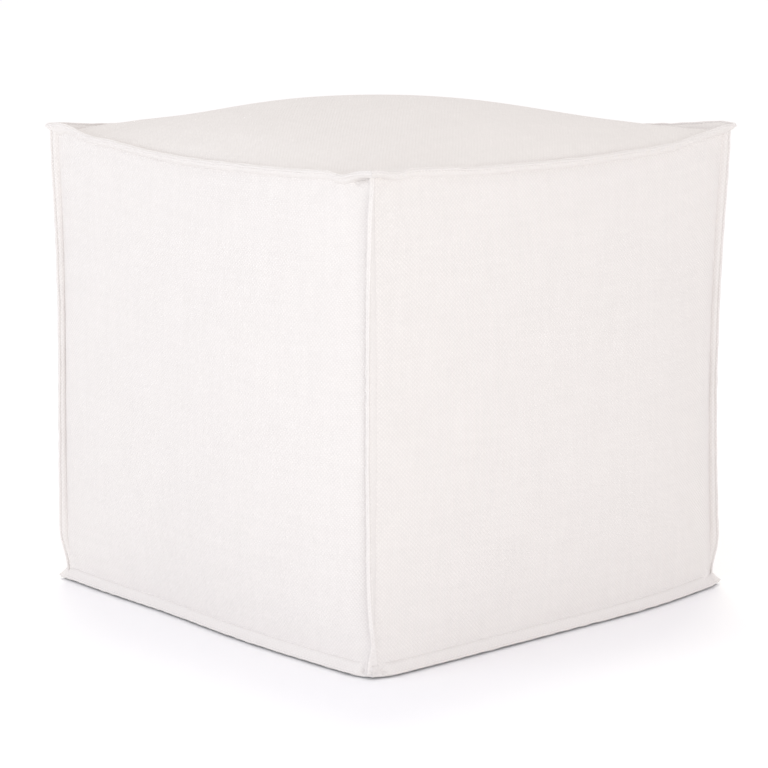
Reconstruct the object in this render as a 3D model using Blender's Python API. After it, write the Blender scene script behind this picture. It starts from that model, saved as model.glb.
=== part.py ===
"""Cube pouf: one stuffed fabric cube whose twelve seams are turned out as narrow sewn flanges.

Run it with blender --background --python part.py, or from the text editor.
Metres, +Z up. The origin is on the floor under the middle of the cube; its front faces -Y.
"""

from collections import namedtuple

import bmesh
import bpy
import numpy as np

# Seam to seam sizes of the stuffed cube.
WIDTH = 0.440  # along X
DEPTH = 0.446  # along Y
LOW_SEAM = 0.0065  # bottom seam's height above the floor
HIGH_SEAM = 0.4300  # top seam's level above the floor, before its corners lift

# How far the middle of each panel stands out from the plane of its seam corners.
CROWN = 0.0385  # top panel
SIDE_SWELL = 0.0110  # side panels
CROWN_FULLNESS = 0.52  # under 1: steep beside the seams and flat across the middle
SIDE_FULLNESS = 0.50
CROWN_PEAK = 0.49  # where the top panel is highest, as a share of each side
SIDE_PEAK = 0.45  # the filling sinks, so a side panel is fullest a little below its middle
BASE_ROUND = 0.10  # share of the bottom panel's side over which it curves down to the floor

# A flange is both panels' allowances folded in, laid flat together and topstitched.
FLANGE_WIDTH = 0.0078
FLANGE_THICK = 0.0040
TIP_ROUND = 0.0011  # rounding of each ply's folded edge
PLY_GROOVE = 0.0007  # depth of the groove between the two folded edges
TOP_RISE_DEG = 55.0  # a top flange points up and out
BOTTOM_DROP_DEG = 43.0  # a bottom flange points down and out until it meets the floor
SADDLE_DEEPEST = 0.0010  # how far a flange's root may reach back over its seam
GAP = 0.0003  # clearance between neighbouring pieces

# Where two top flanges meet, their square corners stick out as a pointed ear.
# lift: how far the seam rises to the corner.  out, up: the ear's reach along the diagonal.
Ear = namedtuple("Ear", "sides lift out up")
EARS = (
    Ear((0, 0), 0.0040, 0.0115, 0.0090),
    Ear((1, 0), 0.0010, 0.0110, 0.0060),
    Ear((1, 1), 0.0050, 0.0115, 0.0095),
    Ear((0, 1), 0.0035, 0.0110, 0.0085),
)
LIFT_RUN = 0.075  # length of seam over which it rises to a corner
EAR_RUN = 0.040  # length of flange over which it grows into the ear
FOOT_OUT = 0.0095  # the blunt corner of two bottom flanges, along the diagonal
FOOT_DOWN = 0.0052

PANEL_CELLS = 18  # grid cells along each side of a panel
EDGE_CROWDING = 0.75  # 0 spaces the grid evenly, and 1 packs it towards the seams
SHARP_DEG = 40  # edges bent more than this are shaded sharp

# sides: which end of the two other axes the seam is at, in the order X, Y, Z.
# sag: how far its middle drops.  bow: how far its middle stands out, or in if negative.
# low_swell: further out low down and in high up.  deepest: where along it the sag is greatest.
# lean: how far the flange is pushed over sideways, towards +X or +Y if positive.
Seam = namedtuple("Seam", "name along sides sag bow low_swell deepest lean_deg")
SEAMS = (
    Seam("top_flange_front", "X", (0, 1), 0.0086, 0.0030, 0, 0.52, 0),
    Seam("top_flange_back", "X", (1, 1), 0.0060, 0.0030, 0, 0.48, 0),
    Seam("top_flange_left", "Y", (0, 1), 0.0050, 0.0030, 0, 0.55, 0),
    Seam("top_flange_right", "Y", (1, 1), 0.0088, 0.0030, 0, 0.56, 0),
    Seam("bottom_flange_front", "X", (0, 0), 0, 0.0085, 0, 0.50, 0),
    Seam("bottom_flange_back", "X", (1, 0), 0, 0.0080, 0, 0.50, 0),
    Seam("bottom_flange_left", "Y", (0, 0), 0, 0.0080, 0, 0.50, 0),
    Seam("bottom_flange_right", "Y", (1, 0), 0, 0.0085, 0, 0.50, 0),
    Seam("corner_flange_front_left", "Z", (0, 0), 0, -0.0028, 0.0012, 0.50, 0),
    Seam("corner_flange_front_right", "Z", (1, 0), 0, -0.0040, 0.0012, 0.50, -24),
    Seam("corner_flange_back_right", "Z", (1, 1), 0, -0.0060, 0.0010, 0.50, 8),
    Seam("corner_flange_back_left", "Z", (0, 1), 0, -0.0045, 0.0012, 0.50, 10),
)
AXES = "XYZ"
LOW_CORNER = np.array([-WIDTH / 2, -DEPTH / 2, LOW_SEAM])
HIGH_CORNER = np.array([WIDTH / 2, DEPTH / 2, HIGH_SEAM])
UP = np.array([0.0, 0.0, 1.0])

LINEN = (0.86, 0.83, 0.79, 1.0)
LINEN_EDGE = (0.88, 0.85, 0.81, 1.0)


def clear_scene():
    for old in list(bpy.data.objects):
        bpy.data.objects.remove(old)


def cloth(name, colour, roughness):
    material = bpy.data.materials.new(name)
    material.use_nodes = True
    shader = material.node_tree.nodes["Principled BSDF"]
    shader.inputs["Base Color"].default_value = colour
    shader.inputs["Roughness"].default_value = roughness
    shader.inputs["Metallic"].default_value = 0.0
    return material


def unit(vectors):
    return vectors / np.linalg.norm(vectors, axis=-1, keepdims=True)


def arch(t, peak=0.5, fullness=1.0):
    """0 at both ends and 1 at peak; a fullness under 1 makes it steeper at the ends."""
    skewed = np.clip(t, 0, 1) ** (np.log(0.5) / np.log(peak))
    return np.sin(np.pi * skewed) ** fullness


def ease(t):
    """From 0 to 1 with no kink at either end."""
    t = np.clip(t, 0, 1)
    return t * t * (3 - 2 * t)


def grid_lines():
    """Places along a seam, 0 to 1, closer together towards its ends."""
    even = np.linspace(0, 1, PANEL_CELLS + 1)
    return even - EDGE_CROWDING * np.sin(2 * np.pi * even) / (2 * np.pi)


def others(axis):
    return [k for k in range(3) if k != axis]


def outward(seam):
    """The level direction in which a seam faces away from the cube's middle."""
    direction = np.zeros(3)
    for axis, side in zip(others(AXES.index(seam.along)), seam.sides):
        direction[axis] = 2 * side - 1
    direction[2] = 0
    return unit(direction)


def ear_at(side_x, side_y):
    return next(ear for ear in EARS if ear.sides == (side_x, side_y))


def end_ears(seam):
    """The ears at a level top seam's low and high ends."""
    side = seam.sides[0]
    return [ear_at(end, side) if seam.along == "X" else ear_at(side, end) for end in (0, 1)]


def seam_line(seam, t):
    """Points of a seam at the places t along it."""
    t = np.asarray(t, float)
    axis = AXES.index(seam.along)
    share = np.zeros(t.shape + (3,))
    share[..., axis] = t
    for other, side in zip(others(axis), seam.sides):
        share[..., other] = side
    points = LOW_CORNER + share * (HIGH_CORNER - LOW_CORNER)
    stands_out = seam.bow * arch(t) + seam.low_swell * np.sin(2 * np.pi * t)
    points += stands_out[..., None] * outward(seam)
    points[..., 2] -= seam.sag * arch(t, seam.deepest)
    if seam.along == "Z":
        points[..., 2] += ear_at(*seam.sides).lift * t
    elif seam.sides[1] == 1:
        length = (HIGH_CORNER - LOW_CORNER)[axis]
        for ear, from_end in zip(end_ears(seam), (t, 1 - t)):
            points[..., 2] += ear.lift * ease(1 - from_end * length / LIFT_RUN)
    return points


def find_seam(along, sides):
    return next(s for s in SEAMS if s.along == AXES[along] and s.sides == sides)


def panel_edge(face_axis, face_side, along, side, t):
    """The seam that bounds a panel on one side, as points at t."""
    sides = tuple(face_side if k == face_axis else side for k in others(along))
    return seam_line(find_seam(along, sides), t)


def swell_of(face_axis, face_side, u, v):
    """How far a panel's cloth stands out from the surface that its four seams stretch."""
    if face_axis == 2 and face_side == 1:
        middle_drop = sum(s.sag for s in SEAMS) / 2  # of the surface the sagging seams stretch
        return (CROWN + middle_drop) * (arch(u, CROWN_PEAK) * arch(v, CROWN_PEAK)) ** CROWN_FULLNESS
    if face_axis == 2:
        to_seam = np.minimum(np.minimum(u, 1 - u), np.minimum(v, 1 - v))
        return LOW_SEAM * np.clip(to_seam / BASE_ROUND, 0, 1) ** CROWN_FULLNESS
    return SIDE_SWELL * (arch(u) * arch(v, SIDE_PEAK)) ** SIDE_FULLNESS


def panel_surface(face_axis, face_side, u, v):
    """Points of one panel: the surface its four seams stretch, swollen by the filling."""
    p, q = others(face_axis)
    across_low, across_high = (panel_edge(face_axis, face_side, p, side, u) for side in (0, 1))
    along_low, along_high = (panel_edge(face_axis, face_side, q, side, v) for side in (0, 1))
    corner = np.zeros(u.shape + (2, 2, 3))
    for i in (0, 1):
        for j in (0, 1):
            ends = panel_edge(face_axis, face_side, p, j, np.full(u.shape, float(i)))
            corner[..., i, j, :] = ends
    u, v = u[..., None], v[..., None]
    stretched = (1 - v) * across_low + v * across_high + (1 - u) * along_low + u * along_high
    stretched -= (1 - u) * (1 - v) * corner[..., 0, 0, :] + u * (1 - v) * corner[..., 1, 0, :]
    stretched -= (1 - u) * v * corner[..., 0, 1, :] + u * v * corner[..., 1, 1, :]
    away = np.zeros(3)
    away[face_axis] = 2 * face_side - 1
    return stretched + away * swell_of(face_axis, face_side, u[..., 0], v[..., 0])[..., None]


def make_object(name, mesh, material):
    mesh.materials.append(material)
    mesh.shade_smooth()
    mesh.set_sharp_from_angle(angle=np.radians(SHARP_DEG))
    made = bpy.data.objects.new(name, mesh)
    bpy.context.scene.collection.objects.link(made)
    return made


def mesh_of(name, vertices, faces):
    mesh = bpy.data.meshes.new(name)
    mesh.from_pydata([tuple(map(float, v)) for v in vertices], [], faces)
    shape = bmesh.new()
    shape.from_mesh(mesh)
    bmesh.ops.recalc_face_normals(shape, faces=shape.faces)
    bmesh.ops.triangulate(shape, faces=shape.faces)
    shape.to_mesh(mesh)
    shape.free()
    return mesh


def filled_cube(material):
    """The stuffed cube: six panels that share the vertices of their seams."""
    lines = grid_lines()
    u, v = np.meshgrid(lines, lines, indexing="ij")
    vertices, faces, numbered = [], [], {}
    for face_axis in range(3):
        for face_side in (0, 1):
            points = panel_surface(face_axis, face_side, u, v)
            number = np.zeros(u.shape, int)
            for i, j in np.ndindex(u.shape):
                place = [i, j]
                place.insert(face_axis, face_side * PANEL_CELLS)
                place = tuple(place)
                if place not in numbered:
                    numbered[place] = len(vertices)
                    vertices.append(points[i, j])
                number[i, j] = numbered[place]
            for i, j in np.ndindex(PANEL_CELLS, PANEL_CELLS):
                cell = number[i, j], number[i + 1, j], number[i + 1, j + 1], number[i, j + 1]
                faces.append([int(k) for k in cell])
    return make_object("filled_cube", mesh_of("filled_cube", vertices, faces), material)


def panel_normals(seam, t, outside):
    """Unit normals, beside each place on a seam, of the two panels that it joins."""
    axis = AXES.index(seam.along)
    along = np.gradient(seam_line(seam, t), axis=0)
    first_line = grid_lines()[1]
    normals = []
    for face_axis, face_side in zip(others(axis), seam.sides):
        inside = [k for k in others(face_axis) if k != axis][0]
        other_side = seam.sides[others(axis).index(inside)]
        inset = np.full(t.shape, first_line if other_side == 0 else 1 - first_line)
        u, v = (t, inset) if axis < inside else (inset, t)
        into = panel_surface(face_axis, face_side, u, v) - seam_line(seam, t)
        normal = unit(np.cross(along, into))
        normals.append(normal * np.sign((normal * outside).sum(1, keepdims=True)))
    return normals


def flange_frame(seam, t):
    """A flange's root line, its width as vectors, and the unit direction of its thickness."""
    root = seam_line(seam, t)
    along = unit(np.gradient(root, axis=0))
    out = outward(seam)
    if seam.along == "Z":
        lean = np.radians(seam.lean_deg) * arch(t, fullness=0.5)
        sideways = np.cross(UP, out)
        width = np.cos(lean)[:, None] * out + np.sin(lean)[:, None] * sideways
        return root, FLANGE_WIDTH * width, unit(np.cross(along, width))
    is_top = seam.sides[1] == 1
    tilt = np.radians(TOP_RISE_DEG if is_top else -BOTTOM_DROP_DEG)
    width = np.tile(FLANGE_WIDTH * (np.cos(tilt) * out + np.sin(tilt) * UP), (len(t), 1))
    thick = unit(UP - (UP @ unit(width[0])) * unit(width))
    run = unit(root[-1] - root[0])
    length = np.linalg.norm(root[-1] - root[0])
    for ear, past_end, from_end in zip(end_ears(seam), (-run, run), (t, 1 - t)):
        diagonal = unit(out + past_end * [1, 1, 0])
        reach, rise = (ear.out, ear.up) if is_top else (FOOT_OUT, -FOOT_DOWN)
        corner_width = reach * diagonal + rise * UP
        corner_thick = unit(UP - (UP @ unit(corner_width)) * unit(corner_width))
        nearness = ease(1 - length * from_end / EAR_RUN)[:, None]
        width = (1 - nearness) * width + nearness * corner_width
        thick = unit((1 - nearness) * thick + nearness * corner_thick)
    return root, width, thick


def flange(seam, material):
    """One flange: a section with a saddle root and two folded edges, swept along its seam."""
    t = grid_lines()
    root, width, thick = flange_frame(seam, t)
    half = FLANGE_THICK / 2
    reach = np.linalg.norm(width, axis=1)
    outward_unit = unit(width)
    normals = panel_normals(seam, t, outward_unit)
    normals.sort(key=lambda normal: -(normal * thick).sum())
    saddle = []
    for normal, side in zip(normals, (half, -half)):
        sideways, straight = (normal * thick).sum(1), (normal * outward_unit).sum(1)
        saddle.append(np.maximum((GAP - side * sideways) / straight, -SADDLE_DEEPEST))
    flat = np.ones_like(reach)
    section = (
        (GAP * flat, 0 * flat),
        (saddle[0], half * flat),
        (reach - TIP_ROUND, half * flat),
        (reach, half / 2 * flat),
        (reach - PLY_GROOVE, 0 * flat),
        (reach, -half / 2 * flat),
        (reach - TIP_ROUND, -half * flat),
        (saddle[1], -half * flat),
    )
    rings = np.stack([root + a[:, None] * outward_unit + b[:, None] * thick for a, b in section], 1)
    trim_ends(seam, rings)
    count = len(section)
    vertices = rings.reshape(-1, 3)
    faces = [list(range(count)), list(range(len(vertices) - count, len(vertices)))]
    for ring in range(len(t) - 1):
        for k in range(count):
            a, b = ring * count + k, ring * count + (k + 1) % count
            faces.append([a, b, b + count, a + count])
    return make_object(seam.name, mesh_of(seam.name, vertices, faces), material)


def trim_ends(seam, rings):
    """Cuts a flange's ends back from its neighbours, and rests a bottom flange on the floor."""
    if seam.along == "Z":
        reach_out = (rings - rings[:, :1]) @ outward(seam)
        clear = FLANGE_THICK / 2 + 2 * GAP
        slope = -FOOT_DOWN / FOOT_OUT
        rings[0, :, 2] = LOW_SEAM + clear * np.hypot(1, slope) + slope * reach_out[0]
        ear = ear_at(*seam.sides)
        slope = ear.up / ear.out
        rings[-1, :, 2] = HIGH_SEAM + ear.lift - clear * np.hypot(1, slope) + slope * reach_out[-1]
        return
    along = AXES.index(seam.along)
    rings[0, :, along] += GAP / np.sqrt(2)
    rings[-1, :, along] -= GAP / np.sqrt(2)
    rings[..., 2] = np.maximum(rings[..., 2], 0)


def build():
    clear_scene()
    panel_cloth = cloth("panel_linen", LINEN, 0.92)
    flange_cloth = cloth("flange_linen", LINEN_EDGE, 0.90)
    filled_cube(panel_cloth)
    for seam in SEAMS:
        flange(seam, flange_cloth)


build()
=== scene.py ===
from collections import namedtuple

import bpy
import numpy as np
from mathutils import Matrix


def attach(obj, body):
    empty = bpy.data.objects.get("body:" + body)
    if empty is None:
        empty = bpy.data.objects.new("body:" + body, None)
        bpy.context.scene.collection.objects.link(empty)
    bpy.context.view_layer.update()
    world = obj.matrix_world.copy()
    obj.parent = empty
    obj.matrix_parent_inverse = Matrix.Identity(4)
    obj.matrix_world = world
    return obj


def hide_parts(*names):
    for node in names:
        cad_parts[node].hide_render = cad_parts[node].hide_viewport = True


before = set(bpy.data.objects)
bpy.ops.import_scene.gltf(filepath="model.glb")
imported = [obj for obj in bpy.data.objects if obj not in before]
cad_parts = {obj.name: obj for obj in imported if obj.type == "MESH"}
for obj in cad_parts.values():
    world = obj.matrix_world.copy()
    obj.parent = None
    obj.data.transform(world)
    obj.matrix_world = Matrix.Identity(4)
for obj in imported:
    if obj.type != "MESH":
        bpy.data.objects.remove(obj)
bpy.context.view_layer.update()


# ---- Studio: camera and floor ------------------------------------------------------------
# A long lens, a little above the pouf and level with its near corner. The floor is one
# seamless pale sheet that runs out of view on every side.

camera_data = bpy.data.cameras.new("studio_camera")
camera_data.lens = 121.05
camera_data.sensor_width = 36
camera_data.dof.use_dof = False
camera = bpy.data.objects.new("studio_camera", camera_data)
camera.location = (1.77897, -1.65196, 0.6842)
camera.rotation_euler = np.radians((90 - 11.376, 0, 47.23))
bpy.context.scene.collection.objects.link(camera)
bpy.context.scene.camera = camera
bpy.context.scene.view_settings.view_transform = "Standard"

FLOOR_HALF = 40.0
FLOOR_LEVEL = -0.0003

floor_mesh = bpy.data.meshes.new("studio_floor")
floor_mesh.from_pydata(
    [(x * FLOOR_HALF, y * FLOOR_HALF, FLOOR_LEVEL) for x, y in ((-1, -1), (1, -1), (1, 1), (-1, 1))],
    [],
    [(0, 1, 2, 3)],
)
floor = bpy.data.objects.new("studio_floor", floor_mesh)
bpy.context.scene.collection.objects.link(floor)
floor_paint = bpy.data.materials.new("floor_paint")
floor_paint.use_nodes = True
floor_shader = floor_paint.node_tree.nodes["Principled BSDF"]
floor_shader.inputs["Base Color"].default_value = (0.97, 0.965, 0.975, 1)
floor_shader.inputs["Roughness"].default_value = 0.9
floor_shader.inputs["Specular IOR Level"].default_value = 0.0
floor_mesh.materials.append(floor_paint)


# ---- Linen weave: the canvas that the whole pouf is made of --------------------------------
# Slubby linen-look canvas in plain weave, about 1.85 mm from thread to thread. Warp and weft
# pass over each other in turn, which shows as a fine checker, and some threads are thicker.
# The gaps between the threads are darkened in the tone, which is painted shade.

WANDER_SCALE = 60.0  # how often the threads stray, and how far in metres
WANDER_REACH = 0.0016
SLUB_ACROSS = 0.30  # slubs change quickly from thread to thread
SLUB_ALONG = 0.030  # and slowly along one
MOTTLE_SCALE = 22.0
GAP_ROUGHENS = 0.08
CLOTH_ROUGHNESS = 0.86


def add_node(tree, kind, inputs=None, **settings):
    made = tree.nodes.new(kind)
    for name, value in settings.items():
        setattr(made, name, value)
    for socket, value in (inputs or {}).items():
        if isinstance(value, bpy.types.NodeSocket):
            tree.links.new(value, made.inputs[socket])
        else:
            made.inputs[socket].default_value = value
    return made


def maths(tree, operation, *values):
    return add_node(tree, "ShaderNodeMath", dict(enumerate(values)), operation=operation).outputs[0]


weave = bpy.data.node_groups.new("linen_weave", "ShaderNodeTree")
for socket_name, socket_type, start_value in (
    ("Cloth", "NodeSocketVector", None),
    ("Thread spacing", "NodeSocketFloat", 0.00185),
    ("Checker", "NodeSocketFloat", 0.05),
    # how much painted shade darkens the gaps between the threads
    ("Gap shade", "NodeSocketFloat", 0.05),
    ("Slubs", "NodeSocketFloat", 0.06),
    ("Mottle", "NodeSocketFloat", 0.02),
):
    socket = weave.interface.new_socket(socket_name, in_out="INPUT", socket_type=socket_type)
    if start_value is not None:
        socket.default_value = start_value
for socket_name in ("Tone", "Height", "Roughness"):
    weave.interface.new_socket(socket_name, in_out="OUTPUT", socket_type="NodeSocketFloat")

given = add_node(weave, "NodeGroupInput").outputs
wander = add_node(
    weave,
    "ShaderNodeTexNoise",
    {"Vector": given["Cloth"], "Scale": WANDER_SCALE, "Detail": 2.0},
)
wander_centred = add_node(
    weave,
    "ShaderNodeVectorMath",
    {0: wander.outputs["Color"], 1: (0.5, 0.5, 0.5)},
    operation="SUBTRACT",
).outputs[0]
wandering = add_node(
    weave,
    "ShaderNodeVectorMath",
    {0: wander_centred, 1: (WANDER_REACH, WANDER_REACH, 0.0), 2: given["Cloth"]},
    operation="MULTIPLY_ADD",
).outputs[0]
thread_vector = add_node(
    weave,
    "ShaderNodeVectorMath",
    {0: wandering, "Scale": maths(weave, "DIVIDE", 1.0, given["Thread spacing"])},
    operation="SCALE",
).outputs[0]
thread_place = add_node(weave, "ShaderNodeSeparateXYZ", {0: thread_vector}).outputs
warp_wave = maths(weave, "SINE", maths(weave, "MULTIPLY", thread_place["X"], np.pi))
weft_wave = maths(weave, "SINE", maths(weave, "MULTIPLY", thread_place["Y"], np.pi))
crossing = maths(weave, "MULTIPLY", warp_wave, weft_wave)
thread_dome = maths(weave, "ABSOLUTE", crossing)


def slub_streaks(across, along, seed):
    """Thick and thin places in the threads that run one way, long and narrow."""
    place = add_node(
        weave,
        "ShaderNodeCombineXYZ",
        {
            "X": maths(weave, "MULTIPLY", across, SLUB_ACROSS),
            "Y": maths(weave, "MULTIPLY", along, SLUB_ALONG),
            "Z": seed,
        },
    ).outputs[0]
    streak = add_node(weave, "ShaderNodeTexNoise", {"Vector": place, "Scale": 1.0, "Detail": 2.0})
    return maths(weave, "SUBTRACT", streak.outputs["Fac"], 0.5)


warp_slubs = slub_streaks(thread_place["X"], thread_place["Y"], 3.7)
weft_slubs = slub_streaks(thread_place["Y"], thread_place["X"], 11.2)
slubs = maths(weave, "ADD", warp_slubs, weft_slubs)
mottle_noise = add_node(
    weave,
    "ShaderNodeTexNoise",
    {"Vector": given["Cloth"], "Scale": MOTTLE_SCALE, "Detail": 3.0, "Roughness": 0.6},
)
mottle = maths(weave, "SUBTRACT", mottle_noise.outputs["Fac"], 0.5)

gap = maths(weave, "SUBTRACT", 1.0, thread_dome)
# The tone is darkened in the gaps between the threads: painted shade, where the threads would shade
# each other.
gap_shade_loss = maths(weave, "MULTIPLY", given["Gap shade"], -1.0)
shaded_in_gaps = maths(weave, "MULTIPLY_ADD", gap, gap_shade_loss, 1.0)
warp_sheen = maths(weave, "MULTIPLY_ADD", crossing, given["Checker"], shaded_in_gaps)
slubbed = maths(weave, "MULTIPLY_ADD", slubs, given["Slubs"], warp_sheen)
tone = maths(weave, "MULTIPLY_ADD", mottle, given["Mottle"], slubbed)
over_and_under = maths(weave, "MULTIPLY_ADD", thread_dome, 0.3, crossing)
height = maths(weave, "MULTIPLY_ADD", slubs, 0.8, over_and_under)
rough = maths(weave, "MULTIPLY_ADD", gap, GAP_ROUGHENS, CLOTH_ROUGHNESS)
add_node(weave, "NodeGroupOutput", {"Tone": tone, "Height": height, "Roughness": rough})


def linen(name, colour, checker, gap_shade, slub_strength, mottle_strength, bump_depth):
    """A canvas material that follows the cloth's own UV map, which is in metres."""
    material = bpy.data.materials.new(name)
    material.use_nodes = True
    tree = material.node_tree
    shader = tree.nodes["Principled BSDF"]
    cloth_map = add_node(tree, "ShaderNodeUVMap", uv_map="cloth").outputs["UV"]
    cloth = add_node(tree, "ShaderNodeGroup", node_tree=weave)
    tree.links.new(cloth_map, cloth.inputs["Cloth"])
    # Seen at a low angle, the raised threads hide the others and the checker fades.
    facing = add_node(tree, "ShaderNodeLayerWeight", {"Blend": 0.5}).outputs["Facing"]
    seen_square = maths(tree, "SUBTRACT", 1.0, facing)
    tree.links.new(maths(tree, "MULTIPLY", seen_square, checker), cloth.inputs["Checker"])
    # painted shade in the gaps between the threads
    cloth.inputs["Gap shade"].default_value = gap_shade
    cloth.inputs["Slubs"].default_value = slub_strength
    cloth.inputs["Mottle"].default_value = mottle_strength
    tinted = add_node(
        tree,
        "ShaderNodeVectorMath",
        {0: colour, "Scale": cloth.outputs["Tone"]},
        operation="SCALE",
    ).outputs[0]
    tree.links.new(tinted, shader.inputs["Base Color"])
    tree.links.new(cloth.outputs["Roughness"], shader.inputs["Roughness"])
    bump = add_node(
        tree,
        "ShaderNodeBump",
        {"Height": cloth.outputs["Height"], "Distance": bump_depth, "Strength": 1.0},
    )
    tree.links.new(bump.outputs["Normal"], shader.inputs["Normal"])
    shader.inputs["Specular IOR Level"].default_value = 0.2
    shader.inputs["Sheen Weight"].default_value = 0.12
    shader.inputs["Sheen Roughness"].default_value = 0.5
    return material


# ---- Cube cover: six square panels of canvas, sewn edge to edge and stuffed ----------------
# The filling crowns the top panel, swells the four sides and packs flat on the floor. The
# panels are cut square and meet in twelve seams, which the filling bows and the corners lift.

WIDTH = 0.440  # seam to seam along X
DEPTH = 0.446  # along Y
LOW_SEAM = 0.0085  # height of the bottom seams
HIGH_SEAM = 0.4315  # and of the top ones, before the corners lift
CROWN = 0.0396
SIDE_SWELL = 0.0120
CROWN_FULLNESS = 0.585
LOW_FULLNESS = 0.90  # of a side panel at the floor
HIGH_FULLNESS = 0.45  # and at its top
SIDE_ROUNDING = 0.80  # and from corner to corner
EDGE_ROLL = 0.0034  # the cloth stands up this much close beside an upright seam
EDGE_ROLL_RUN = 0.0028
CROWN_PEAK = 0.50
CROWN_CORNER_DROP = 0.52  # how much the crown flattens towards the corners
SIDE_PEAK = 0.42
BASE_ROUND = 0.10  # the share of the base panel, from each seam, that curves up off the floor
LIFT_RUN = 0.075  # a corner's lift fades out over this length of the top seams
BUMP_END_RUN = 0.015  # bumps fade out over this length at a seam's ends
COVER_CELLS = 64
EDGE_CROWDING = 0.72

# The ear at each upright corner: how far the corner lifts, how far the flanges reach out and up
# at its tip, how far they reach out at its foot, and the share of the upright flange's top end
# that is tucked into the cushion.
Ear = namedtuple("Ear", "sides lift out up foot_out top_tuck")
EARS = (
    Ear((0, 0), 0.0036, 0.0108, 0.0086, 0.0078, 0.10),
    Ear((1, 0), 0.0010, 0.0110, 0.0045, -0.0030, 0.75),
    Ear((1, 1), 0.0056, 0.0116, 0.0088, 0.0078, 0.10),
    Ear((0, 1), 0.0008, 0.0100, 0.0045, 0.0070, 0.20),
)

# Each seam: the axis it runs along and the side of the cube it is on, how far it sags and bows
# out, an uneven swell low down, where it sags most, and how its flange leans, overall and at the
# foot. A bump is where a top seam rides up, or a bottom seam stands out: its middle and half
# width along the seam, and how far it goes.
Seam = namedtuple("Seam", "name along sides sag bow low_swell deepest lean_deg foot_lean_deg bumps")
SEAMS = (
    Seam("top_flange_front", "X", (0, 1), 0.0086, 0.0030, 0, 0.52, 0, 0,
         ((0.024, 0.018, 0.0038), (0.085, 0.050, 0.0027), (0.365, 0.040, -0.0014),
          (0.407, 0.014, -0.0046))),
    Seam("top_flange_back", "X", (1, 1), 0.0060, 0.0030, 0, 0.48, 0, 0, ((0.378, 0.060, 0.0058),)),
    Seam("top_flange_left", "Y", (0, 1), 0.0050, 0.0030, 0, 0.55, 0, 0,
         ((0.030, 0.025, 0.0010), (0.072, 0.040, 0.0030))),
    Seam("top_flange_right", "Y", (1, 1), 0.0088, 0.0030, 0, 0.56, 0, 0,
         ((0.025, 0.013, -0.0030), (0.112, 0.030, -0.0010), (0.300, 0.110, 0.0013),
          (0.405, 0.035, 0.0010))),
    Seam("bottom_flange_front", "X", (0, 0), 0, 0.0085, 0, 0.50, 0, 0, ((0.165, 0.090, -0.0055),)),
    Seam("bottom_flange_back", "X", (1, 0), 0, 0.0080, 0, 0.50, 0, 0, ()),
    Seam("bottom_flange_left", "Y", (0, 0), 0, 0.0080, 0, 0.50, 0, 0, ()),
    Seam("bottom_flange_right", "Y", (1, 0), 0, 0.0085, 0, 0.50, 0, 0, ((0.350, 0.110, 0.0085),)),
    Seam("corner_flange_front_left", "Z", (0, 0), 0, -0.0028, 0.0012, 0.50, 19, 0, ()),
    Seam("corner_flange_front_right", "Z", (1, 0), 0, -0.0040, 0.0012, 0.50, -46, 30, ()),
    Seam("corner_flange_back_right", "Z", (1, 1), 0, -0.0072, 0, 0.50, -9, 0, ()),
    Seam("corner_flange_back_left", "Z", (0, 1), 0, -0.0045, 0.0012, 0.50, 10, 0, ()),
)
AXES = "XYZ"
LOW_CORNER = np.array([-WIDTH / 2, -DEPTH / 2, LOW_SEAM])
HIGH_CORNER = np.array([WIDTH / 2, DEPTH / 2, HIGH_SEAM])
UP = np.array([0.0, 0.0, 1.0])


def unit(vectors):
    return vectors / np.linalg.norm(vectors, axis=-1, keepdims=True)


def arch(t, peak=0.5, fullness=1.0):
    """0 at both ends and 1 at peak; a fullness under 1 makes it steeper at the ends."""
    skewed = np.clip(t, 0, 1) ** (np.log(0.5) / np.log(peak))
    return np.sin(np.pi * skewed) ** fullness


def ease(t):
    t = np.clip(t, 0, 1)
    return t * t * (3 - 2 * t)


def crowded(cells, crowding):
    """Places from 0 to 1 that lie closer together towards both ends."""
    even = np.linspace(0, 1, cells + 1)
    return even - crowding * np.sin(2 * np.pi * even) / (2 * np.pi)


def others(axis):
    return [k for k in range(3) if k != axis]


def outward(seam):
    """The level direction in which a seam faces away from the cube."""
    direction = np.zeros(3)
    for axis, side in zip(others(AXES.index(seam.along)), seam.sides):
        direction[axis] = 2 * side - 1
    direction[2] = 0
    return unit(direction)


def ear_at(side_x, side_y):
    return next(ear for ear in EARS if ear.sides == (side_x, side_y))


def end_ears(seam):
    """The ears at the start and the end of a seam that is not upright."""
    side = seam.sides[0]
    return [ear_at(end, side) if seam.along == "X" else ear_at(side, end) for end in (0, 1)]


def seam_line(seam, t):
    """Points along a seam, for t from 0 to 1."""
    t = np.asarray(t, float)
    axis = AXES.index(seam.along)
    share = np.zeros(t.shape + (3,))
    share[..., axis] = t
    for other, side in zip(others(axis), seam.sides):
        share[..., other] = side
    points = LOW_CORNER + share * (HIGH_CORNER - LOW_CORNER)
    stands_out = seam.bow * arch(t) + seam.low_swell * np.sin(2 * np.pi * t)
    points += stands_out[..., None] * outward(seam)
    points[..., 2] -= seam.sag * arch(t, seam.deepest)
    length = (HIGH_CORNER - LOW_CORNER)[axis]
    clear_of_ends = ease(np.minimum(t, 1 - t) * length / BUMP_END_RUN)
    bump_way = UP if seam.sides[1] == 1 or seam.along == "Z" else outward(seam)
    for middle, half_width, rise in seam.bumps:
        nearness = np.exp(-(((t * length - middle) / half_width) ** 2))
        points += (rise * nearness * clear_of_ends)[..., None] * bump_way
    if seam.along == "Z":
        points[..., 2] += ear_at(*seam.sides).lift * t
    elif seam.sides[1] == 1:
        for ear, from_end in zip(end_ears(seam), (t, 1 - t)):
            points[..., 2] += ear.lift * ease(1 - from_end * length / LIFT_RUN)
    return points


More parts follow.
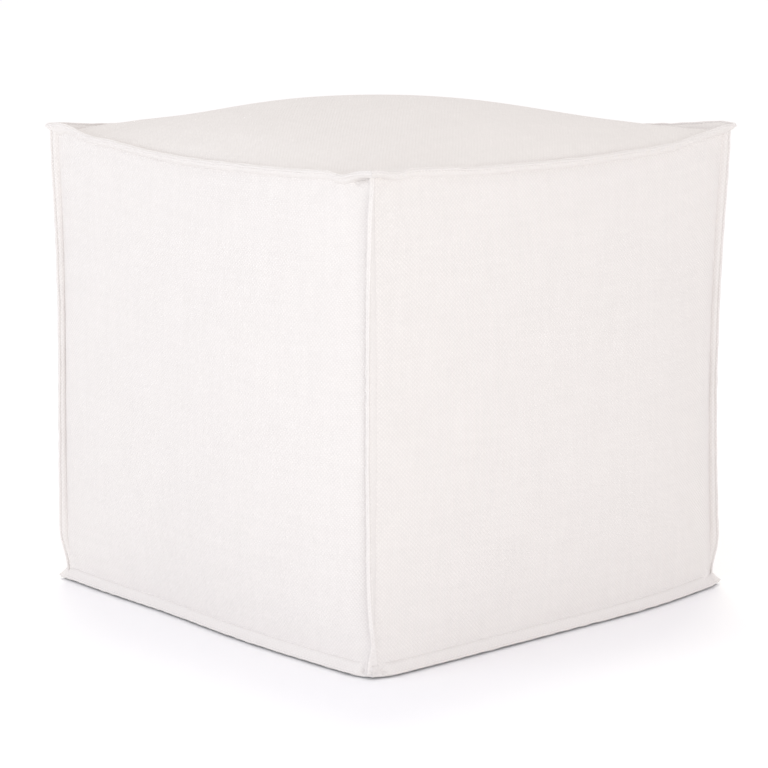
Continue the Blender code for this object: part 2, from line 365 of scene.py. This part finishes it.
def panel_edge(face_axis, face_side, along, side, t):
    sides = tuple(face_side if k == face_axis else side for k in others(along))
    return seam_line(next(s for s in SEAMS if s.along == AXES[along] and s.sides == sides), t)


def swell_of(face_axis, face_side, u, v):
    """How far a panel stands out from the surface stretched between its four seams."""
    if face_axis == 2 and face_side == 1:
        middle_drop = sum(s.sag for s in SEAMS) / 2
        across, along = arch(u, CROWN_PEAK), arch(v, CROWN_PEAK)
        flattened = 1 - CROWN_CORNER_DROP * (1 - across) * (1 - along)
        return (CROWN + middle_drop) * (across * along) ** CROWN_FULLNESS * flattened
    if face_axis == 2:
        to_seam = np.minimum(np.minimum(u, 1 - u), np.minimum(v, 1 - v))
        return LOW_SEAM * np.clip(to_seam / BASE_ROUND, 0, 1) ** CROWN_FULLNESS
    fullness = LOW_FULLNESS + (HIGH_FULLNESS - LOW_FULLNESS) * v
    height_shape = arch(v, SIDE_PEAK) ** fullness
    to_upright_seam = np.minimum(u, 1 - u) * WIDTH
    roll = EDGE_ROLL * (1 - np.exp(-to_upright_seam / EDGE_ROLL_RUN)) * arch(v) ** 0.9
    return SIDE_SWELL * arch(u) ** SIDE_ROUNDING * height_shape + roll


def panel_points(face_axis, face_side, u, v):
    """A panel stretched between its four seams, then swollen by the filling."""
    p, q = others(face_axis)
    across = [panel_edge(face_axis, face_side, p, side, u) for side in (0, 1)]
    along = [panel_edge(face_axis, face_side, q, side, v) for side in (0, 1)]
    corner = [
        [panel_edge(face_axis, face_side, p, j, np.full(u.shape, float(i))) for j in (0, 1)]
        for i in (0, 1)
    ]
    s, t = u[..., None], v[..., None]
    stretched = (1 - t) * across[0] + t * across[1] + (1 - s) * along[0] + s * along[1]
    stretched -= (1 - s) * (1 - t) * corner[0][0] + s * (1 - t) * corner[1][0]
    stretched -= (1 - s) * t * corner[0][1] + s * t * corner[1][1]
    away = np.zeros(3)
    away[face_axis] = 2 * face_side - 1
    return stretched + away * swell_of(face_axis, face_side, u, v)[..., None]


# Every place on the cube's surface grid has one key, so panels share the points on their seams.
lines = crowded(COVER_CELLS, EDGE_CROWDING)
u_grid, v_grid = np.meshgrid(lines, lines, indexing="ij")
steps = np.arange(COVER_CELLS + 1)
panel_size = HIGH_CORNER - LOW_CORNER
vertex_keys, vertex_points, face_keys, face_uvs = [], [], [], []
for face_axis in range(3):
    p, q = others(face_axis)
    for face_side in (0, 1):
        points = panel_points(face_axis, face_side, u_grid, v_grid)
        key = np.zeros(u_grid.shape + (3,), int)
        key[..., p], key[..., q] = np.meshgrid(steps, steps, indexing="ij")
        key[..., face_axis] = face_side * COVER_CELLS
        key = (key * [1, COVER_CELLS + 1, (COVER_CELLS + 1) ** 2]).sum(-1)
        vertex_keys.append(key.ravel())
        vertex_points.append(points.reshape(-1, 3))
        metres = np.stack([u_grid * panel_size[p], v_grid * panel_size[q]], -1)
        metres += [face_axis, face_side]  # each panel is cut from its own part of the cloth
        corner_order = [(0, 0), (1, 0), (1, 1), (0, 1)]
        if (face_axis == 1) != (face_side == 0):
            corner_order.reverse()
        n = COVER_CELLS
        corner_keys = [key[i:n + i, j:n + j] for i, j in corner_order]
        corner_uvs = [metres[i:n + i, j:n + j] for i, j in corner_order]
        face_keys.append(np.stack(corner_keys, -1).reshape(-1, 4))
        face_uvs.append(np.stack(corner_uvs, -2).reshape(-1, 2))
keys, first_place = np.unique(np.concatenate(vertex_keys), return_index=True)
cover_points = np.concatenate(vertex_points)[first_place]
cover_faces = np.searchsorted(keys, np.concatenate(face_keys))

cover_mesh = bpy.data.meshes.new("cube_cover")
cover_mesh.from_pydata(cover_points.tolist(), [], cover_faces.tolist())
cover_uv = cover_mesh.uv_layers.new(name="cloth")
cover_uv.data.foreach_set("uv", np.concatenate(face_uvs).ravel())
cover = bpy.data.objects.new("cube_cover", cover_mesh)
bpy.context.scene.collection.objects.link(cover)

grid_place = np.stack([keys // (COVER_CELLS + 1) ** k % (COVER_CELLS + 1) for k in range(3)], 1)
at_limit = ((grid_place == 0) | (grid_place == COVER_CELLS)).sum(1)
on_seam = at_limit >= 2
on_floor = grid_place[:, 2] == 0

edge_ends = np.zeros(len(cover_mesh.edges) * 2, int)
cover_mesh.edges.foreach_get("vertices", edge_ends)
edge_ends = edge_ends.reshape(-1, 2)

# The cloth is blown out by its filling while the seams and the floor hold it. Its broad swell
# is already in the panels, so only the small gathers that it makes are kept, and those gently.
PRESSURE = 2.5
SETTLING_FRAMES = 20
GATHER_ROUNDS = 40
GATHER_SHARE = 0.5
GATHER_LIMIT = 0.0012


def neighbour_mean(values, rounds, held_still):
    """Smooths a value over the cover by averaging along its edges."""
    count = len(values)
    neighbours = np.bincount(edge_ends.ravel(), minlength=count)
    for _ in range(rounds):
        total = np.stack(
            [
                np.bincount(edge_ends[:, 0], values[edge_ends[:, 1], k], count)
                + np.bincount(edge_ends[:, 1], values[edge_ends[:, 0], k], count)
                for k in range(3)
            ],
            axis=1,
        )
        values = np.where(held_still[:, None], 0, total / neighbours[:, None])
    return values


held = cover.vertex_groups.new(name="sewn_or_resting")
held.add(np.flatnonzero(on_seam | on_floor).tolist(), 1.0, "REPLACE")
stuffing = cover.modifiers.new("stuffing", "CLOTH")
stuffing.settings.quality = 5
stuffing.settings.mass = 0.3
stuffing.settings.air_damping = 5
stuffing.settings.tension_stiffness = 60
stuffing.settings.compression_stiffness = 60
stuffing.settings.shear_stiffness = 15
stuffing.settings.bending_stiffness = 1.0
stuffing.settings.shrink_min = -0.003
stuffing.settings.vertex_group_mass = held.name
stuffing.settings.use_pressure = True
stuffing.settings.uniform_pressure_force = PRESSURE
stuffing.settings.effector_weights.gravity = 0
stuffing.collision_settings.use_collision = False
stuffing.point_cache.frame_start = 1
stuffing.point_cache.frame_end = SETTLING_FRAMES
for step in range(1, SETTLING_FRAMES + 1):
    bpy.context.scene.frame_set(step)
settled = cover.evaluated_get(bpy.context.evaluated_depsgraph_get()).to_mesh()
moved = np.zeros(len(cover_points) * 3)
settled.vertices.foreach_get("co", moved)
moved = moved.reshape(-1, 3) - cover_points
gathers = GATHER_SHARE * (moved - neighbour_mean(moved, GATHER_ROUNDS, on_seam | on_floor))
far = np.linalg.norm(gathers, axis=1, keepdims=True)
gathers *= GATHER_LIMIT * np.tanh(far / GATHER_LIMIT) / np.maximum(far, 1e-9)
cover.modifiers.remove(stuffing)
cover.vertex_groups.clear()
bpy.context.scene.frame_set(1)
cover_points = cover_points + gathers
cover_mesh.vertices.foreach_set("co", cover_points.ravel())
cover_mesh.update()

seam_edges = on_seam[edge_ends].all(1)
crease = cover_mesh.attributes.new("crease_edge", "FLOAT", "EDGE")
crease.data.foreach_set("value", seam_edges.astype(float))
smoothing = cover.modifiers.new("smoothing", "SUBSURF")
smoothing.levels = smoothing.render_levels = 1
smooth_mesh = bpy.data.meshes.new_from_object(
    cover.evaluated_get(bpy.context.evaluated_depsgraph_get())
)
cover.modifiers.remove(smoothing)
cover.data = smooth_mesh
smooth_mesh.name = "cube_cover"

# Small creases where the cloth is gathered into a corner: start, end, half width, height.
Crease = namedtuple("Crease", "start end half_width height")
CREASES = (
    Crease((0.2255, 0.1695, 0.4232), (0.2255, 0.1860, 0.4250), 0.0022, 0.0012),
    Crease((0.2255, 0.1768, 0.4181), (0.2255, 0.1980, 0.4215), 0.0024, -0.0010),
    Crease((0.2255, 0.1890, 0.4120), (0.2255, 0.2060, 0.4200), 0.0028, 0.0010),
    Crease((0.2255, 0.1933, 0.0057), (0.2255, 0.2092, 0.0147), 0.0026, 0.0020),
    Crease((0.2255, 0.1681, 0.0155), (0.2255, 0.1835, 0.0080), 0.0024, 0.0014),
    Crease((0.2255, 0.1410, 0.0089), (0.2255, 0.1581, 0.0115), 0.0024, 0.0010),
    Crease((0.2255, 0.1244, 0.0414), (0.2255, 0.1334, 0.0251), 0.0030, 0.0006),
    Crease((0.1688, -0.2285, 0.4207), (0.1788, -0.2285, 0.4166), 0.0030, 0.0010),
    Crease((0.1432, -0.2285, 0.4048), (0.1586, -0.2285, 0.4181), 0.0040, -0.0007),
    Crease((0.1926, -0.2285, 0.4253), (0.2086, -0.2285, 0.4143), 0.0030, -0.0014),
    Crease((-0.1661, -0.2285, 0.0432), (-0.1474, -0.2285, 0.0321), 0.0040, 0.0006),
    Crease((0.2000, -0.2260, 0.4275), (0.2150, -0.2250, 0.4335), 0.0042, -0.0046),
)
count = len(smooth_mesh.vertices)
smooth_points, normals = np.zeros(count * 3), np.zeros(count * 3)
smooth_mesh.vertices.foreach_get("co", smooth_points)
smooth_mesh.vertex_normals.foreach_get("vector", normals)
smooth_points, normals = smooth_points.reshape(-1, 3), normals.reshape(-1, 3)
rise = np.zeros(count)
for fold in CREASES:
    start, run = np.array(fold.start), np.subtract(fold.end, fold.start)
    share = (smooth_points - start) @ run / (run @ run)
    nearest = start + np.clip(share, 0, 1)[:, None] * run
    away = np.linalg.norm(smooth_points - nearest, axis=1)
    rise += fold.height * np.exp(-((away / fold.half_width) ** 2))
smooth_points += normals * rise[:, None]
smooth_points[:, 2] = np.maximum(smooth_points[:, 2], 0)
smooth_mesh.vertices.foreach_set("co", smooth_points.ravel())
smooth_mesh.shade_smooth()
smooth_mesh.update()

panel_canvas = linen(
    "panel_canvas",
    colour=(0.740, 0.702, 0.683),
    checker=0.052,
    gap_shade=0.02,
    slub_strength=0.04,
    mottle_strength=0.03,
    bump_depth=0.00015,
)
smooth_mesh.materials.clear()
smooth_mesh.materials.append(panel_canvas)
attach(cover, "root")
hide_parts("filled_cube")


# ---- Flanges: the seam allowances, turned out and stitched flat along every edge -------------
# Each panel's allowance is folded in and laid against its neighbour's, so a flange is two
# folded plies of canvas side by side. It stands up and out at the top and drops at the floor.

FLANGE_WIDTH = 0.0078
PLY_THICK = 0.0020
ROOT_DEPTH = 0.0028  # how far a flange's root is tucked into the seam
TAIL_DEPTH = 1.7  # behind its root it runs on to this many times that depth
TAIL_SHARE = 0.45  # and thins to this share of the root
THIN_ROOT = 0.3  # half the root's thickness, in plies
FOLDED_ROOT = 0.7  # which a folded-over flange adds to
FOLDED_OVER_DEG = -30
STITCH_FROM_EDGE = 0.0022
STITCH_PINCH = 0.00085
PINCH_STEP = 0.0005  # spacing of the points that shape the pinch beside the stitches
PINCH_TIGHTNESS = 0.9
PLY_GAP = 0.00030  # depth of the line between the two folded edges
STITCH_SPACING = 0.0032
TOP_RISE_DEG = 55.0
BOTTOM_DROP_DEG = 55.0
SWAY_DEG = 3.0  # flanges wander a little from side to side, in waves of these lengths
SWAY_WAVES = (0.04, 0.14)
PLY_WOBBLE = 0.00022  # and so does each folded edge
PLY_WAVES = (0.012, 0.06)
PLY_SEEDS = (50, 80)
EAR_RUN = 0.040  # a top flange turns into its ears over this length
FOOT_RUN = 0.022  # and a bottom one into its feet over this
FOOT_DOWN = 0.0056
FOOT_SLOPE = 0.35  # an upright flange's lower end drops this much for each metre out
FOOT_LEAN_RUN = 0.036
FOOT_TUCK = 0.97  # this share of an upright flange goes into the cushion at the floor
FOOT_TUCK_RUN = 0.042
FOOT_SPREAD = 1.5  # and there it is this much fatter
FOOT_SPREAD_RUN = 0.026
TOP_TUCK_RUN = 0.032
ENDS_RUN = 0.012  # an upright flange's ends bend with the ears over this length
FLOOR_FILLET = 1.6  # a flange at the floor is this much thicker at its root, like a fillet
FLOOR_PINCH_SHARE = 0.3
FOLDED_NARROWING = 0.16  # a flange that is folded over stands out less
RING_SPACING = 0.0010
UNSTITCHED_END = 0.012  # the share of a seam at each end that is not topstitched


def slow_waves(t, length, shortest, longest, seed):
    """A smooth uneven curve along a seam, about -1 to 1."""
    chance = np.random.default_rng(seed)
    total = np.zeros_like(t)
    for _ in range(5):
        wave = np.exp(chance.uniform(np.log(shortest), np.log(longest)))
        total += np.sin(2 * np.pi * (t * length / wave + chance.uniform()))
    return total / 2.5


def flange_frame(seam, t, seed):
    """A flange's root line, its width as vectors, and the unit direction of its thickness."""
    root = seam_line(seam, t)
    along = unit(np.gradient(root, axis=0))
    out = outward(seam)
    length = np.linalg.norm(root[-1] - root[0])
    sway = np.radians(SWAY_DEG) * slow_waves(t, length, *SWAY_WAVES, seed) * arch(t, fullness=0.5)
    if seam.along == "Z":
        foot_share = np.exp(-((t * length / FOOT_LEAN_RUN) ** 2))
        lean_deg = seam.lean_deg * arch(t, fullness=0.8) + seam.foot_lean_deg * foot_share
        lean = np.radians(lean_deg) + sway
        sideways = np.cross(UP, out)
        width = np.cos(lean)[:, None] * out + np.sin(lean)[:, None] * sideways
        from_top = (1 - t) * length
        tucked = ear_at(*seam.sides).top_tuck * ease(1 - from_top / TOP_TUCK_RUN)
        tucked += FOOT_TUCK * ease(1 - t * length / FOOT_TUCK_RUN)
        reach = FLANGE_WIDTH * (1 - FOLDED_NARROWING * abs(np.sin(lean)))
        root = root - (tucked * reach)[:, None] * width
        spread = (1 + FOOT_SPREAD * ease(1 - t * length / FOOT_SPREAD_RUN))[:, None]
        return root, reach[:, None] * width, spread * unit(np.cross(along, width))
    is_top = seam.sides[1] == 1
    tilt = np.radians(TOP_RISE_DEG) + sway if is_top else np.full_like(t, np.radians(-BOTTOM_DROP_DEG))
    width = FLANGE_WIDTH * (np.cos(tilt)[:, None] * out + np.sin(tilt)[:, None] * UP)
    thick = unit(UP - (unit(width) @ UP)[:, None] * unit(width))
    run = unit(root[-1] - root[0])
    for ear, past_end, from_end in zip(end_ears(seam), (-run, run), (t, 1 - t)):
        diagonal = unit(out + past_end * [1, 1, 0])
        reach, rise = (ear.out, ear.up) if is_top else (ear.foot_out, -FOOT_DOWN)
        corner_width = reach * diagonal + rise * UP
        corner_thick = unit(UP - (UP @ unit(corner_width)) * unit(corner_width))
        nearness = ease(1 - length * from_end / (EAR_RUN if is_top else FOOT_RUN))[:, None]
        width = (1 - nearness) * width + nearness * corner_width
        thick = unit((1 - nearness) * thick + nearness * corner_thick)
    return root, width, thick


PLY_FOLD_DEG = (-75, -45, -15, 15, 45, 75)  # the points round a ply's folded edge


def flange_section(reach, ply_reach, pinch, root_half):
    """Places across a flange and through it, in order round its outline.

    root_half is half the root's thickness. Behind it the flange thins again, inside the
    cushion, so that its faces run into the panels without a step.
    """
    none = np.zeros_like(reach)
    radius = PLY_THICK / 2
    stitch = reach - STITCH_FROM_EDGE
    outline = []
    for side, ply, order in ((-1, ply_reach[0], 1), (1, ply_reach[1], -1)):
        points = [(none - TAIL_DEPTH * ROOT_DEPTH, side * TAIL_SHARE * root_half)]
        points.append((none - ROOT_DEPTH, side * root_half))
        points.append((none, side * (0.5 * root_half + 0.5 * PLY_THICK)))
        points.append((stitch * 0.45, none + side * PLY_THICK))
        for k in (-2, -1, 0, 1, 2):
            dip = pinch * np.exp(-((k * PINCH_TIGHTNESS) ** 2))
            points.append((stitch + k * PINCH_STEP, side * (PLY_THICK - dip)))
        for angle in np.radians(PLY_FOLD_DEG):
            fall = radius if angle < 0 else PLY_GAP
            across = reach + ply - fall * (1 - np.cos(angle))
            points.append((across, none + side * radius * (1 - np.sin(angle))))
        outline += points[::order]
    return outline


def sew_flange(seam, material, seed):
    """Sweeps the section along a seam, and returns the two lines to topstitch."""
    length = (HIGH_CORNER - LOW_CORNER)[AXES.index(seam.along)]
    t = np.linspace(0, 1, int(length / RING_SPACING) + 1)
    root, width, thick = flange_frame(seam, t, seed)
    reach = np.linalg.norm(width, axis=1)
    ply_reach = [PLY_WOBBLE * slow_waves(t, length, *PLY_WAVES, seed + k) for k in PLY_SEEDS]
    puff = 0.5 - 0.5 * np.cos(2 * np.pi * t * length / STITCH_SPACING)
    pinch = STITCH_PINCH * (1.25 - 0.5 * puff)
    root_half = np.full_like(t, PLY_THICK * THIN_ROOT)
    if seam.lean_deg < FOLDED_OVER_DEG:
        root_half += PLY_THICK * FOLDED_ROOT * arch(t, fullness=0.25)
    if seam.along != "Z" and seam.sides[1] == 0:
        root_half = np.full_like(t, PLY_THICK * FLOOR_FILLET)
        pinch = pinch * FLOOR_PINCH_SHARE
    outline = flange_section(reach, ply_reach, pinch, root_half)
    rings = np.stack(
        [root + w[:, None] * unit(width) + n[:, None] * thick for w, n in outline], axis=1
    )
    if seam.along == "Z":
        reach_out = (rings - root[:, None]) @ outward(seam)
        ear = ear_at(*seam.sides)
        near_top = (1 - ear.top_tuck) * ease(1 - (1 - t) * length / ENDS_RUN)[:, None]
        near_floor = ease(1 - t * length / ENDS_RUN)[:, None]
        rings[..., 2] += near_top * reach_out * ear.up / ear.out
        rings[..., 2] -= near_floor * reach_out * FOOT_SLOPE
    rings[..., 2] = np.maximum(rings[..., 2], 0)
    around, count = rings.shape[1], len(t)
    vertices = rings.reshape(-1, 3)
    ring_starts = np.arange(count - 1)[:, None] * around
    here = (ring_starts + np.arange(around)).ravel()
    beside = (ring_starts + (np.arange(around) + 1) % around).ravel()
    quads = np.stack([here, beside, beside + around, here + around], 1)
    caps = [list(range(around)), list(range(around * (count - 1), around * count))[::-1]]
    mesh = bpy.data.meshes.new(seam.name.replace("flange", "edge"))
    mesh.from_pydata(vertices.tolist(), [], quads.tolist() + caps)

    middle_ring = rings[count // 2]
    gaps = np.linalg.norm(np.diff(middle_ring, axis=0, append=middle_ring[:1]), axis=1)
    across = np.concatenate([[0], np.cumsum(gaps)])
    along = t * length
    ring, place = np.divmod(here, around)
    corners = ((ring, place), (ring, place + 1), (ring + 1, place + 1), (ring + 1, place))
    uv = np.stack([np.stack([along[i], across[k]], 1) for i, k in corners], 1).reshape(-1, 2)
    uv = np.concatenate([uv, np.zeros((2 * around, 2))])
    mesh.uv_layers.new(name="cloth").data.foreach_set("uv", uv.ravel())

    first, second, third, fourth = (vertices[quads[:, k]] for k in range(4))
    volume = (first * (np.cross(second, third) + np.cross(third, fourth))).sum()
    mesh.update()
    if volume < 0:
        mesh.flip_normals()
    mesh.shade_smooth()
    mesh.materials.append(material)
    piece = bpy.data.objects.new(mesh.name, mesh)
    bpy.context.scene.collection.objects.link(piece)
    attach(piece, "root")
    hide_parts(seam.name)

    stitched = (t > UNSTITCHED_END) & (t < 1 - UNSTITCHED_END)
    stitch_width = (reach - STITCH_FROM_EDGE)[:, None] * unit(width)
    return [
        (root + stitch_width + side * (PLY_THICK - STITCH_PINCH) * thick)[stitched]
        for side in (-1, 1)
    ]


flange_canvas = linen(
    "flange_canvas",
    colour=(0.732, 0.695, 0.676),
    checker=0.035,
    gap_shade=0.02,
    slub_strength=0.03,
    mottle_strength=0.02,
    bump_depth=0.00005,
)
stitch_rows = []
for number, seam in enumerate(SEAMS):
    stitch_rows += sew_flange(seam, flange_canvas, seed=number)


# ---- Topstitching: one row of thread along each face of every flange --------------------------
# Cotton thread a little lighter than the canvas, in stitches about 2.5 mm long that sink into
# the plies. It is what holds the two folded allowances flat together.

thread_material = bpy.data.materials.new("stitch_thread")
thread_material.use_nodes = True
thread_tree = thread_material.node_tree
thread_shader = thread_tree.nodes["Principled BSDF"]
object_place = add_node(thread_tree, "ShaderNodeTexCoord").outputs["Object"]
fibre = add_node(
    thread_tree, "ShaderNodeTexNoise", {"Vector": object_place, "Scale": 900.0, "Detail": 2.0}
)
fibre_tone = maths(thread_tree, "MULTIPLY_ADD", fibre.outputs["Fac"], 0.16, 0.90)
thread_colour = add_node(
    thread_tree,
    "ShaderNodeVectorMath",
    {0: (0.70, 0.66, 0.63), "Scale": fibre_tone},
    operation="SCALE",
).outputs[0]
thread_tree.links.new(thread_colour, thread_shader.inputs["Base Color"])
fibre_bump = add_node(
    thread_tree, "ShaderNodeBump", {"Height": fibre.outputs["Fac"], "Distance": 0.0001}
)
thread_tree.links.new(fibre_bump.outputs["Normal"], thread_shader.inputs["Normal"])
thread_shader.inputs["Roughness"].default_value = 0.75
thread_shader.inputs["Sheen Weight"].default_value = 0.1

rows = bpy.data.node_groups.new("topstitch_rows", "GeometryNodeTree")
rows.interface.new_socket("Geometry", in_out="INPUT", socket_type="NodeSocketGeometry")
for socket_name, start_value in (
    ("Stitch spacing", STITCH_SPACING),
    ("Stitch length", 0.0025),
    ("Thread radius", 0.00020),
    ("Unevenness", 0.12),
):
    socket = rows.interface.new_socket(socket_name, in_out="INPUT", socket_type="NodeSocketFloat")
    socket.default_value = start_value
rows.interface.new_socket("Seed", in_out="INPUT", socket_type="NodeSocketInt")
rows.interface.new_socket("Thread", in_out="INPUT", socket_type="NodeSocketMaterial")
rows.interface.new_socket("Geometry", in_out="OUTPUT", socket_type="NodeSocketGeometry")
asked = add_node(rows, "NodeGroupInput").outputs
row_curve = add_node(rows, "GeometryNodeMeshToCurve", {"Mesh": asked["Geometry"]}).outputs["Curve"]
spaced = add_node(
    rows,
    "GeometryNodeResampleCurve",
    {"Curve": row_curve, "Length": asked["Stitch spacing"]},
    mode="LENGTH",
).outputs["Curve"]
tangent = add_node(rows, "GeometryNodeInputTangent").outputs["Tangent"]
turned = add_node(
    rows, "FunctionNodeAlignRotationToVector", {"Vector": tangent}, axis="X"
).outputs["Rotation"]
bead = add_node(
    rows, "GeometryNodeMeshUVSphere", {"Segments": 6, "Rings": 4, "Radius": 1.0}
).outputs["Mesh"]
uneven = add_node(
    rows,
    "FunctionNodeRandomValue",
    {
        "Min": maths(rows, "SUBTRACT", 1.0, asked["Unevenness"]),
        "Max": maths(rows, "ADD", 1.0, asked["Unevenness"]),
        "Seed": asked["Seed"],
    },
    data_type="FLOAT",
).outputs["Value"]
even_half = maths(rows, "MULTIPLY", asked["Stitch length"], 0.5)
half_length = maths(rows, "MULTIPLY", even_half, uneven)
stitch_size = add_node(
    rows,
    "ShaderNodeCombineXYZ",
    {"X": half_length, "Y": asked["Thread radius"], "Z": asked["Thread radius"]},
).outputs[0]
stitches = add_node(
    rows,
    "GeometryNodeInstanceOnPoints",
    {"Points": spaced, "Instance": bead, "Rotation": turned, "Scale": stitch_size},
).outputs["Instances"]
real = add_node(rows, "GeometryNodeRealizeInstances", {"Geometry": stitches}).outputs["Geometry"]
threaded = add_node(
    rows, "GeometryNodeSetMaterial", {"Geometry": real, "Material": asked["Thread"]}
).outputs["Geometry"]
add_node(rows, "NodeGroupOutput", {"Geometry": threaded})

row_points = np.concatenate(stitch_rows)
row_starts = np.cumsum([0] + [len(row) for row in stitch_rows])
row_edges = [
    (k, k + 1) for first, last in zip(row_starts, row_starts[1:]) for k in range(first, last - 1)
]
row_mesh = bpy.data.meshes.new("topstitching")
row_mesh.from_pydata(row_points.tolist(), row_edges, [])
topstitching = bpy.data.objects.new("topstitching", row_mesh)
bpy.context.scene.collection.objects.link(topstitching)
sewing = topstitching.modifiers.new("sewing", "NODES")
sewing.node_group = rows
socket_ids = {
    item.name: item.identifier
    for item in rows.interface.items_tree
    if item.item_type == "SOCKET" and item.in_out == "INPUT"
}
sewing[socket_ids["Seed"]] = 7
sewing[socket_ids["Thread"]] = thread_material
sewn_mesh = bpy.data.meshes.new_from_object(
    topstitching.evaluated_get(bpy.context.evaluated_depsgraph_get())
)
topstitching.modifiers.remove(sewing)
topstitching.data = sewn_mesh
sewn_mesh.name = "topstitching"
sewn_mesh.shade_smooth()
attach(topstitching, "root")


# ---- Studio light: a white room, an overhead lamp and two large soft lamps --------------------
# The room gives most of the light. The overhead lamp stands a little behind the pouf and casts
# the narrow soft shadow at its foot. Key and fill stand low, so the sides outshine the top.

world = bpy.data.worlds.new("white_room")
bpy.context.scene.world = world
world.use_nodes = True
world.node_tree.nodes["Background"].inputs["Color"].default_value = (0.995, 0.972, 1.0, 1)
world.node_tree.nodes["Background"].inputs["Strength"].default_value = 0.881


LAMP_AIM = (0, 0, 0.2)


def hang_lamp(name, kind, place, power, colour):
    """A lamp at a place, turned towards the middle of the pouf."""
    lamp_data = bpy.data.lights.new(name, kind)
    lamp_data.energy = power
    lamp_data.color = colour
    lamp = bpy.data.objects.new(name, lamp_data)
    lamp.location = place
    aim = np.array(LAMP_AIM) - place
    lamp.rotation_euler = (
        np.arctan2(np.hypot(aim[0], aim[1]), -aim[2]), 0, np.arctan2(-aim[0], aim[1])
    )
    bpy.context.scene.collection.objects.link(lamp)
    return lamp_data


overhead = hang_lamp("overhead", "SUN", (-0.892, 0.832, 2.940), 0.626, (0.984, 1.0, 0.815))
overhead.angle = 0.35
key = hang_lamp("key", "AREA", (-0.765, -2.854, 0.721), 20.2, (0.835, 0.936, 1.0))
fill = hang_lamp("fill", "AREA", (2.678, -1.249, 0.721), 23.4, (0.949, 1.0, 0.987))
for soft in (key, fill):
    soft.shape = "DISK"
    soft.size = 1.6
